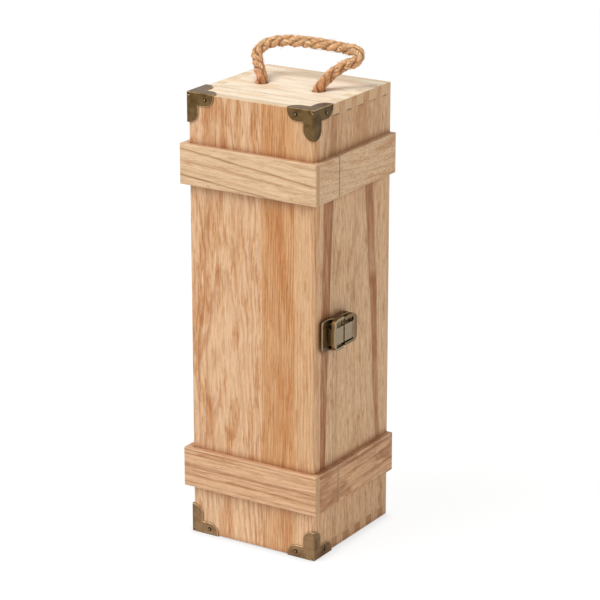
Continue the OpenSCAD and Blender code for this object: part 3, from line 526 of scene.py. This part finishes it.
def faceTones(tree, colour, look, place):  # the latch's faces painted lit and shaded: front faces a lit gold, outward faces dark deep inside and lit grey further out
    facing = put(tree, "SeparateXYZ", links={0: put(tree, "TexCoord", out=1)}).node
    outward = put(tree, "MapRange", {"From Min": 0.6, "From Max": 0.95}, {0: facing.outputs[0]})
    # faces turned to the front are painted a lit gold
    forward = put(tree, "MapRange", {"From Min": -0.6, "From Max": -0.95}, {0: facing.outputs[1]})
    colour = put(tree, "Mix", {"data_type": "RGBA", 7: look["front"]}, {0: forward, 6: colour}, out=2)
    inMm = put(tree, "VectorMath", {"operation": "SCALE", "Scale": mmPerMetre}, {0: place})
    distance = put(tree, "SeparateXYZ", links={0: inMm})
    inside, outside = look["between"]
    distance = put(tree, "MapRange", {"From Min": inside, "From Max": outside}, {0: distance})
    # outward faces get painted tones by depth: dark shade deep inside, a lit grey further out
    tone = put(tree, "ValToRGB", {"stops": look["tones"]}, {0: distance})
    return put(tree, "Mix", {"data_type": "RGBA"}, {0: outward, 6: colour, 7: tone}, out=2)


def antiquedBrass(name, look):
    material, tree = newMaterial(name)
    place = put(tree, "TexCoord", out=3)
    patches = {"Scale": 120.0, "Detail": 4.0, "Roughness": 0.55}  # about 8 mm across
    cloud = put(tree, "TexNoise", patches, {"Vector": place})
    grit = put(tree, "TexNoise", {"Scale": 1400.0, "Detail": 3.0}, {"Vector": place})  # speckle under 1 mm
    patina = put(tree, "MapRange", {"From Min": 0.36, "From Max": 0.6}, {0: cloud})
    colour = put(tree, "Mix", {"data_type": "RGBA", 6: look["dark"], 7: look["body"]}, {0: patina}, out=2)
    if "tones" in look:
        colour = faceTones(tree, colour, look, place)

    # dark patina in the hollows; on the latch base, with its long reach and near-black floor, it is painted
    # shade
    hollow = put(tree, "AmbientOcclusion", {"samples": 16, "Distance": look["reach"]}, out=1)
    patinaAndShade = {"From Min": 0.2, "From Max": 0.7, "To Min": look["deepest"], "To Max": 1.0}
    hollow = put(tree, "MapRange", patinaAndShade, {0: hollow})
    colour = put(tree, "VectorMath", {"operation": "SCALE"}, {0: colour, "Scale": hollow})
    # edges made bright: wear, and a painted highlight along the folds and rims
    eased = put(tree, "Bevel", {"samples": 12, "Radius": look["edge"]})
    plain = put(tree, "NewGeometry", out=3)
    agree = put(tree, "VectorMath", {"operation": "DOT_PRODUCT"}, {0: eased, 1: plain}, out=1)
    worn = put(tree, "MapRange", {"From Min": 0.99, "From Max": 0.88}, {0: agree})
    patchRange = {"From Min": 0.3, "From Max": 0.55, "To Min": 0.5, "To Max": 1.0}
    wearAndHighlightPatches = put(tree, "MapRange", patchRange, {0: cloud})
    worn = put(tree, "Math", {"operation": "MULTIPLY"}, {0: worn, 1: wearAndHighlightPatches})
    colour = put(tree, "Mix", {"data_type": "RGBA", 7: look["rubbedHighlight"]}, {0: worn, 6: colour}, out=2)
    tone = put(tree, "MapRange", {"From Min": 0.3, "From Max": 0.7, "To Min": 0.88, "To Max": 1.1}, {0: grit})
    colour = put(tree, "VectorMath", {"operation": "SCALE"}, {0: colour, "Scale": tone})

    dulling = {"From Min": 0.3, "From Max": 0.7,
               "To Min": look["rough"] - 0.06, "To Max": look["rough"] + 0.1}
    rough = put(tree, "MapRange", dulling, {0: cloud})
    surface = put(tree, "Bump", {"Strength": 0.25, "Distance": 0.00006}, {"Height": grit, "Normal": eased})
    shader = put(tree, "BsdfPrincipled", {"Metallic": 1.0},
                 {"Base Color": colour, "Roughness": rough, "Normal": surface})
    put(tree, "OutputMaterial", links={"Surface": shader})
    return material


# Domed steel nails: the crown, facing straight out, is painted pale as lit and dented by the hammer; the
# sloping rim is painted dark as shade.
nailLook = {"crown": "#a08a62", "rim": "#2c2114", "rough": 0.38, "dentScale": 900.0, "dentDepth": 0.0001}


def hammeredNail(name, look):
    material, tree = newMaterial(name)
    facing = put(tree, "SeparateXYZ", links={0: put(tree, "TexCoord", out=1)}).node
    flat = [put(tree, "Math", {"operation": "ABSOLUTE"}, {0: facing.outputs[i]}) for i in (0, 1)]
    flat = put(tree, "Math", {"operation": "MAXIMUM"}, {0: flat[0], 1: flat[1]})
    # painted light and shade by facing: pale where the head faces straight out, dark on the sloping rim
    dome = {"interpolation_type": "SMOOTHSTEP", "From Min": 0.9, "From Max": 0.985}
    crown = put(tree, "MapRange", dome, {0: flat})
    dentSize = {"Scale": look["dentScale"], "Detail": 2.0}
    dents = put(tree, "TexNoise", dentSize, {"Vector": put(tree, "TexCoord", out=3)})
    struck = put(tree, "MapRange", {"To Min": 0.6, "To Max": 1.2}, {0: dents})
    crown = put(tree, "Math", {"operation": "MULTIPLY"}, {0: crown, 1: struck})
    colour = put(tree, "Mix", {"data_type": "RGBA", 6: look["rim"], 7: look["crown"]}, {0: crown}, out=2)
    surface = put(tree, "Bump", {"Strength": 0.3, "Distance": look["dentDepth"]}, {"Height": dents})
    shader = put(tree, "BsdfPrincipled", {"Metallic": 1.0, "Roughness": look["rough"]},
                 {"Base Color": colour, "Normal": surface})
    put(tree, "OutputMaterial", links={"Surface": shader})
    return material


plateNodes = [n for n in cadNodes if n.startswith(("bracket_t", "upper_hinge", "lower_hinge"))]
dress(antiquedBrass("antiquedBrassPlate", bracketLook), *plateNodes, "latch_keeper")
dress(antiquedBrass("hollowShadedAntiquedBrass", baseLook), "latch_base")
dress(antiquedBrass("floorLitAntiquedBrass", floorLitBracketLook), "bracket_bottom_left", "bracket_bottom_right")
dress(antiquedBrass("greyAntiquedBrass", latchLook), "latch_lever", "latch_loop_pin", "latch_pivot_pin")
dress(antiquedBrass("brownAntiquedBrass", loopLook), "latch_loop")
dress(hammeredNail("hammeredNail", nailLook), *[n for n in cadNodes if n.endswith("_nails")])
print("metal done")

# Three-strand jute rope: hairy tan yarn, laid to the left, with the hollows between the strands painted dark
# as shade.
# Lengths are in metres. Each uneven row is a size, a rate per metre, and a shift: of the whole lay,
# from strand to strand, or round the rope.
ropeLook = {
    "diameter": 0.009, "strandRadius": 0.00255, "strandOffset": 0.00195, "lay": 0.029,
    "step": 0.0007, "sides": 48,
    "unevenLay": ((0.3, 230, 0), (0.16, 610, 1)), "unevenStrand": ((0.05, 520, 2.1), (0.04, 1270, 4.3)),
    "unevenYarn": (0.03, 2600, 3),
    "light": "#ffe8c2", "pale": "#f0b47a", "tan": "#a4622e", "hollowShade": "#5c2e10", "nearBoxTint": "#d59a78",
    "yarnTurn": -0.35, "yarnWide": 0.75, "yarnLong": 9, "wispWide": 0.35, "wispLong": 4,  # radians, then mm
    "nearBoxReach": 0.022,
    "top": 0.350, "length": 0.182,
}
ropeRoute = [  # the part's own route, in mm from the middle of the top board's upper face
    (-25, 0, -8.3), (-25, 0, -5), (-25, 0, -2), (-25.3, 0.3, 1), (-26.4, 1.5, 3.8), (-28.6, 3.9, 6.2),
    (-32, 7.2, 9.2), (-35.6, 10.9, 12.3), (-38.9, 14.6, 15.8), (-39.9, 18.6, 19.6), (-37.6, 22.3, 22.8),
    (-32.8, 24.9, 25.1), (-26, 26.5, 26.7), (-18, 27.4, 27.6), (-8, 27.9, 28.1), (3, 28.1, 28.3),
    (14, 28, 28.2), (25, 27.8, 27.9), (33, 27.6, 27.6), (39.6, 27.1, 27.1), (43.9, 25.4, 25.4),
    (45.4, 22.8, 22.8), (43.9, 20.2, 20.2), (40, 18.6, 18.7), (35.8, 16.9, 17), (32.3, 13.7, 13.9),
    (29.6, 10.2, 10.9), (27.4, 6.2, 7.6), (25.8, 2.6, 4.4), (25.1, 0.6, 1.4), (25, 0, -2),
    (25, 0, -5), (25, 0, -8.3),
]


def smoothLine(points, step):  # an even walk along the curve through the points, and its length
    fine, last, parts = [], len(points) - 1, 16
    for i in range(last):
        a, b, c, d = (points[max(0, min(last, i + k))] for k in (-1, 0, 1, 2))
        for k in range(parts):
            t = k / parts
            square = (2 * a - 5 * b + 4 * c - d) * t * t
            fine.append(0.5 * (2 * b + (c - a) * t + square + (3 * b - a - 3 * c + d) * t ** 3))
    fine.append(points[-1])
    total = sum((q - p).length for p, q in zip(fine, fine[1:]))
    count = round(total / step)
    line, walked, goal = [fine[0]], 0.0, total / count
    for p, q in zip(fine, fine[1:]):
        piece = (q - p).length
        while walked + piece >= goal and len(line) < count:
            line.append(p.lerp(q, (goal - walked) / piece))
            goal += total / count
        walked += piece
    line.append(fine[-1])
    return line, total


def lobeReach(look, angle, walked):  # how far the three-lobed section stands out at an angle
    strand, offset, third = look["strandRadius"], look["strandOffset"], 2 * math.pi / 3
    spin = angle + 2 * math.pi * walked / look["lay"]
    for size, rate, shift in look["unevenLay"]:
        spin += size * math.sin(walked * rate + shift)
    away = (spin + third / 2) % third - third / 2
    reach = offset * math.cos(away) + math.sqrt(strand ** 2 - (offset * math.sin(away)) ** 2)
    strandNumber = round((spin - away) / third) % 3
    waves = look["unevenStrand"]
    reach *= 1 + sum(size * math.sin(walked * rate + strandNumber * shift) for size, rate, shift in waves)
    size, rate, turns = look["unevenYarn"]
    return reach * (1 + size * math.sin(walked * rate + angle * turns))


def twistedRope(name, line, look):  # a closed tube with three strands that turn as it goes
    vertices, faces, uvs = [], [], []
    side = Vector((0, 1, 0))
    walked, sides, last = 0.0, look["sides"], len(line) - 1
    radiusMm = look["diameter"] * mmPerMetre / 2
    roundMm = 2 * math.pi * radiusMm
    strand, offset = look["strandRadius"], look["strandOffset"]
    deepest = offset * 0.5 + math.sqrt(strand ** 2 - 0.75 * offset ** 2)  # where two strands meet
    hollows = []
    for i, point in enumerate(line):
        heading = (line[min(i + 1, last)] - line[max(i - 1, 0)]).normalized()
        side = (side - heading * side.dot(heading)).normalized()
        other = heading.cross(side)
        if i:
            walked += (point - line[i - 1]).length
        for k in range(sides):
            angle = 2 * math.pi * k / sides
            reach = lobeReach(look, angle, walked)
            vertices.append(point + (side * math.cos(angle) + other * math.sin(angle)) * reach)
            uvs.append((walked * mmPerMetre, angle * radiusMm))
            hollows.append(max(0.0, min(1.0, 1 - (reach - deepest) / (offset + strand - deepest))))
    for i in range(last):
        for k in range(sides):
            n = (k + 1) % sides
            faces.append((i * sides + k, i * sides + n, (i + 1) * sides + n, (i + 1) * sides + k))
    faces.append(tuple(range(sides - 1, -1, -1)))
    faces.append(tuple(last * sides + k for k in range(sides)))

    mesh = bpy.data.meshes.new(name)
    mesh.from_pydata(vertices, [], faces)
    layer = mesh.uv_layers.new(name="ropeLay")
    for face in mesh.polygons:
        face.use_smooth = len(face.vertices) == 4
        corners = [uvs[v] for v in face.vertices]
        wraps = max(c[1] for c in corners) - min(c[1] for c in corners) > 3 * radiusMm
        for loopIndex, (u, v) in zip(face.loop_indices, corners):
            layer.data[loopIndex].uv = (u, v + roundMm if wraps and v < radiusMm else v)
    mesh.attributes.new("hollow", "FLOAT", "POINT").data.foreach_set("value", hollows)
    rope = bpy.data.objects.new(name, mesh)
    scene.collection.objects.link(rope)
    return rope


def juteYarn(name, look):
    material, tree = newMaterial(name)
    lay = put(tree, "TexCoord", out=2)
    turned = put(tree, "Mapping", {"Rotation": (0, 0, look["yarnTurn"])}, {"Vector": lay})
    yarnScale = (1 / look["yarnLong"], 1 / look["yarnWide"], 1.0)  # yarns drawn wide enough to show
    yarn = put(tree, "Mapping", {"Scale": yarnScale}, {"Vector": turned})
    yarn = put(tree, "TexNoise", {"Scale": 1.0, "Detail": 5.0, "Roughness": 0.72}, {"Vector": yarn})
    wispScale = (1 / look["wispLong"], 1 / look["wispWide"], 1.0)
    wisp = put(tree, "Mapping", {"Scale": wispScale, "Rotation": (0, 0, 0.5)}, {"Vector": turned})
    wisp = put(tree, "TexNoise", {"Scale": 1.0, "Detail": 2.0}, {"Vector": wisp})
    place = put(tree, "TexCoord", out=3)
    patch = put(tree, "TexNoise", {"Scale": 320.0, "Detail": 4.0, "Roughness": 0.65}, {"Vector": place})
    # the hollows between the strands are painted dark as shade
    hollow = put(tree, "Attribute", {"attribute_name": "hollow"}, out=2)
    deepen = {"interpolation_type": "SMOOTHSTEP", "From Min": 0.4, "From Max": 1.0, "To Max": 0.7}
    hollow = put(tree, "MapRange", deepen, {0: hollow})

    tones = [(0.36, look["tan"]), (0.5, look["pale"]), (0.63, look["light"])]
    colour = put(tree, "ValToRGB", {"stops": tones}, {0: yarn})
    wispy = put(tree, "MapRange", {"From Min": 0.56, "From Max": 0.7, "To Max": 0.5}, {0: wisp})
    colour = put(tree, "Mix", {"data_type": "RGBA", 7: look["light"]}, {0: wispy, 6: colour}, out=2)
    mottled = {"From Min": 0.36, "From Max": 0.62, "To Min": 0.68, "To Max": 1.14}
    patchShade = put(tree, "MapRange", mottled, {0: patch})
    colour = put(tree, "VectorMath", {"operation": "SCALE"}, {0: colour, "Scale": patchShade})
    colour = put(tree, "Mix", {"data_type": "RGBA", 7: look["hollowShade"]}, {0: hollow, 6: colour}, out=2)
    low = put(tree, "SeparateXYZ", links={0: place}).node.outputs[2]  # browner and darker towards the box
    nearBox = {"From Min": look["top"] + look["nearBoxReach"], "From Max": look["top"], "To Max": 0.6}
    low = put(tree, "MapRange", nearBox, {0: low})
    browner = {"data_type": "RGBA", "blend_type": "MULTIPLY", 7: look["nearBoxTint"]}
    colour = put(tree, "Mix", browner, {0: low, 6: colour}, out=2)

    height = put(tree, "Math", {"operation": "ADD"}, {0: yarn, 1: wisp})
    surface = put(tree, "Bump", {"Strength": 1.0, "Distance": 0.0006}, {"Height": height})
    matt = {"Roughness": 0.85, "Specular IOR Level": 0.2, "Sheen Weight": 0.15, "Sheen Roughness": 0.5}
    shader = put(tree, "BsdfPrincipled", matt, {"Base Color": colour, "Normal": surface})
    put(tree, "OutputMaterial", links={"Surface": shader})
    return material


ropePoints = [Vector((x, y, z + ropeLook["top"] * mmPerMetre)) / mmPerMetre for x, y, z in ropeRoute]
ropeLine, ropeLength = smoothLine(ropePoints, ropeLook["step"])
ropeJute = juteYarn("laidJute", ropeLook)
rope = twistedRope("ropeHandle", ropeLine, ropeLook)
rope.data.materials.append(ropeJute)
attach(rope, "case")
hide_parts("rope_handle")

# Loose jute fibre: pale straw colour, matt, far thinner than a pixel and drawn a little thicker.
# Lengths and thicknesses are in metres; the two tones are mixed by a noise.
hairLook = {
    "count": 1700, "endGap": 14, "rootShare": 0.42, "lift": (0.15, 0.9), "alongRope": (0.5, 1.2),
    "bend": 0.35, "short": (0.001, 0.003), "long": (0.003, 0.0065), "shortShare": 0.85,
    "thick": (0.00005, 0.0001), "taper": 0.75, "joints": 3, "corners": 3,
    "tones": [(0.35, "#c8935a"), (0.65, "#edcb96")],
}


def anyWay():
    return Vector((dice.gauss(0, 1), dice.gauss(0, 1), dice.gauss(0, 1)))


def looseHairs(name, line, look):  # single fibres that stand off the rope, as thin three-sided spikes
    vertices, faces = [], []
    joints, corners = look["joints"], look["corners"]
    for _ in range(look["count"]):
        i = dice.randrange(look["endGap"], len(line) - look["endGap"])
        heading = (line[i + 1] - line[i - 1]).normalized()
        flat = heading.cross(anyWay()).normalized()
        root = line[i] + flat * ropeLook["diameter"] * look["rootShare"]
        lifted = flat * dice.uniform(*look["lift"])
        aim = (lifted + heading * dice.choice((-1, 1)) * dice.uniform(*look["alongRope"])).normalized()
        bend = anyWay() * look["bend"]
        reach = look["short"] if dice.random() < look["shortShare"] else look["long"]
        long = dice.uniform(*reach)
        thick = dice.uniform(*look["thick"])
        base = len(vertices)
        for k in range(joints + 1):
            t = k / joints
            middle = root + aim * long * t + bend * long * t * t * 0.5
            u = aim.cross(heading).normalized()
            v = aim.cross(u)
            for corner in range(corners):
                a = 2 * math.pi * corner / corners
                out = (u * math.cos(a) + v * math.sin(a)) * thick
                vertices.append(middle + out * (1 - look["taper"] * t))
        for k in range(joints):
            for corner in range(corners):
                here, n = base + k * corners, (corner + 1) % corners
                faces.append((here + corner, here + n, here + corners + n, here + corners + corner))
        tip = base + joints * corners
        faces.append(tuple(base + corner for corner in reversed(range(corners))))
        faces.append(tuple(tip + corner for corner in range(corners)))
    mesh = bpy.data.meshes.new(name)
    mesh.from_pydata(vertices, [], faces)
    hairs = bpy.data.objects.new(name, mesh)
    scene.collection.objects.link(hairs)
    return hairs


def looseFibre(name, look):
    material, tree = newMaterial(name)
    tone = put(tree, "TexNoise", {"Scale": 300.0}, {"Vector": put(tree, "TexCoord", out=3)})
    colour = put(tree, "ValToRGB", {"stops": look["tones"]}, {0: tone})
    matt = {"Roughness": 0.8, "Specular IOR Level": 0.2}
    shader = put(tree, "BsdfPrincipled", matt, {"Base Color": colour})
    put(tree, "OutputMaterial", links={"Surface": shader})
    return material


hairs = looseHairs("ropeHairs", ropeLine, hairLook)
hairs.data.materials.append(looseFibre("looseJuteFibre", hairLook))
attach(hairs, "case")

knotLook = {**ropeLook, "strandRadius": 0.0018, "strandOffset": 0.0016, "diameter": 0.0068, "lay": 0.03,
            "wide": 0.002064, "tall": 0.0038, "points": 48}


def knotRoute(middle, look):  # an overhand knot, pulled tight
    angles = [2 * math.pi * k / look["points"] for k in range(look["points"] + 1)]
    return [middle + Vector(((math.sin(t) + 2 * math.sin(2 * t)) * look["wide"],
                             (math.cos(t) - 2 * math.cos(2 * t)) * look["wide"],
                             -math.sin(3 * t) * look["tall"])) for t in angles]


for node in ("rope_knot_left", "rope_knot_right"):
    low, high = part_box(node)
    knotLine, _ = smoothLine(knotRoute((low + high) / 2, knotLook), knotLook["step"])
    knot = twistedRope(node.replace("rope_", "") + "_tied", knotLine, knotLook)
    knot.data.materials.append(ropeJute)
    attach(knot, "case")
    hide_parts(node)
print("rope done, length", round(ropeLength, 4))

# Plain soft light: a wide key from the front left, a weaker fill from the right, and a pale room.
stageLook = {"floor": "#f6f4f1", "halfWidth": 4, "contact": 0.012, "lifted": 0.84,
             "white": "#ffffff", "world": 0.42}
lamps = {"key": {"place": (-1.15, -1.5, 2.9), "size": 1.9, "power": 78},
         "fill": {"place": (2.4, -1.2, 1.3), "size": 1.6, "power": 17}}

floorMesh = bpy.data.meshes.new("floor")
floorCorners = [(x * stageLook["halfWidth"], y * stageLook["halfWidth"], cadLow.z)
                for x, y in ((-1, -1), (1, -1), (1, 1), (-1, 1))]
floorMesh.from_pydata(floorCorners, [], [(0, 1, 2, 3)])
floor = bpy.data.objects.new("floor", floorMesh)
scene.collection.objects.link(floor)

# White studio paper: matt, lifted to full white for the camera, with a close grey shade where the box stands
paper, paperTree = newMaterial("whitePaperSweep")
paperShade = put(paperTree, "BsdfDiffuse", {"Color": stageLook["floor"]})
contact = put(paperTree, "AmbientOcclusion", {"samples": 12, "Distance": stageLook["contact"]}, out=1)
contactShade = {"From Min": 0.35, "From Max": 0.95, "To Min": 0.78, "To Max": 1.08}
contact = put(paperTree, "MapRange", contactShade, {0: contact})
paperGlow = put(paperTree, "Emission", {"Color": stageLook["white"]}, {"Strength": contact})
seen = put(paperTree, "LightPath")
seen = put(paperTree, "Math", {"operation": "MULTIPLY", 1: stageLook["lifted"]}, {0: seen})
paperMix = put(paperTree, "MixShader", links={0: seen, 1: paperShade, 2: paperGlow})
put(paperTree, "OutputMaterial", links={"Surface": paperMix})
floorMesh.materials.append(paper)

world = bpy.data.worlds.new("studio")
scene.world = world
world.use_nodes = True
worldTree = world.node_tree
worldTree.nodes.clear()
dim = put(worldTree, "Background", {"Color": stageLook["white"], "Strength": stageLook["world"]})
bright = put(worldTree, "Background", {"Color": stageLook["white"], "Strength": 1.0})
rays = put(worldTree, "LightPath").node.outputs
toCamera = {0: rays["Is Camera Ray"], 1: rays["Is Glossy Ray"]}
direct = put(worldTree, "Math", {"operation": "MAXIMUM"}, toCamera)
sky = put(worldTree, "MixShader", links={0: direct, 1: dim, 2: bright})
put(worldTree, "OutputWorld", links={"Surface": sky})

aimPoint = Vector((0, 0, 0.18))  # the middle of the box
for name, look in lamps.items():
    lamp = bpy.data.objects.new(name, bpy.data.lights.new(name, "AREA"))
    lamp.data.shape = "SQUARE"
    lamp.data.size = look["size"]
    lamp.data.energy = look["power"]
    lamp.location = look["place"]
    lamp.rotation_euler = (aimPoint - Vector(look["place"])).to_track_quat("-Z", "Y").to_euler()
    scene.collection.objects.link(lamp)
print("stage done")
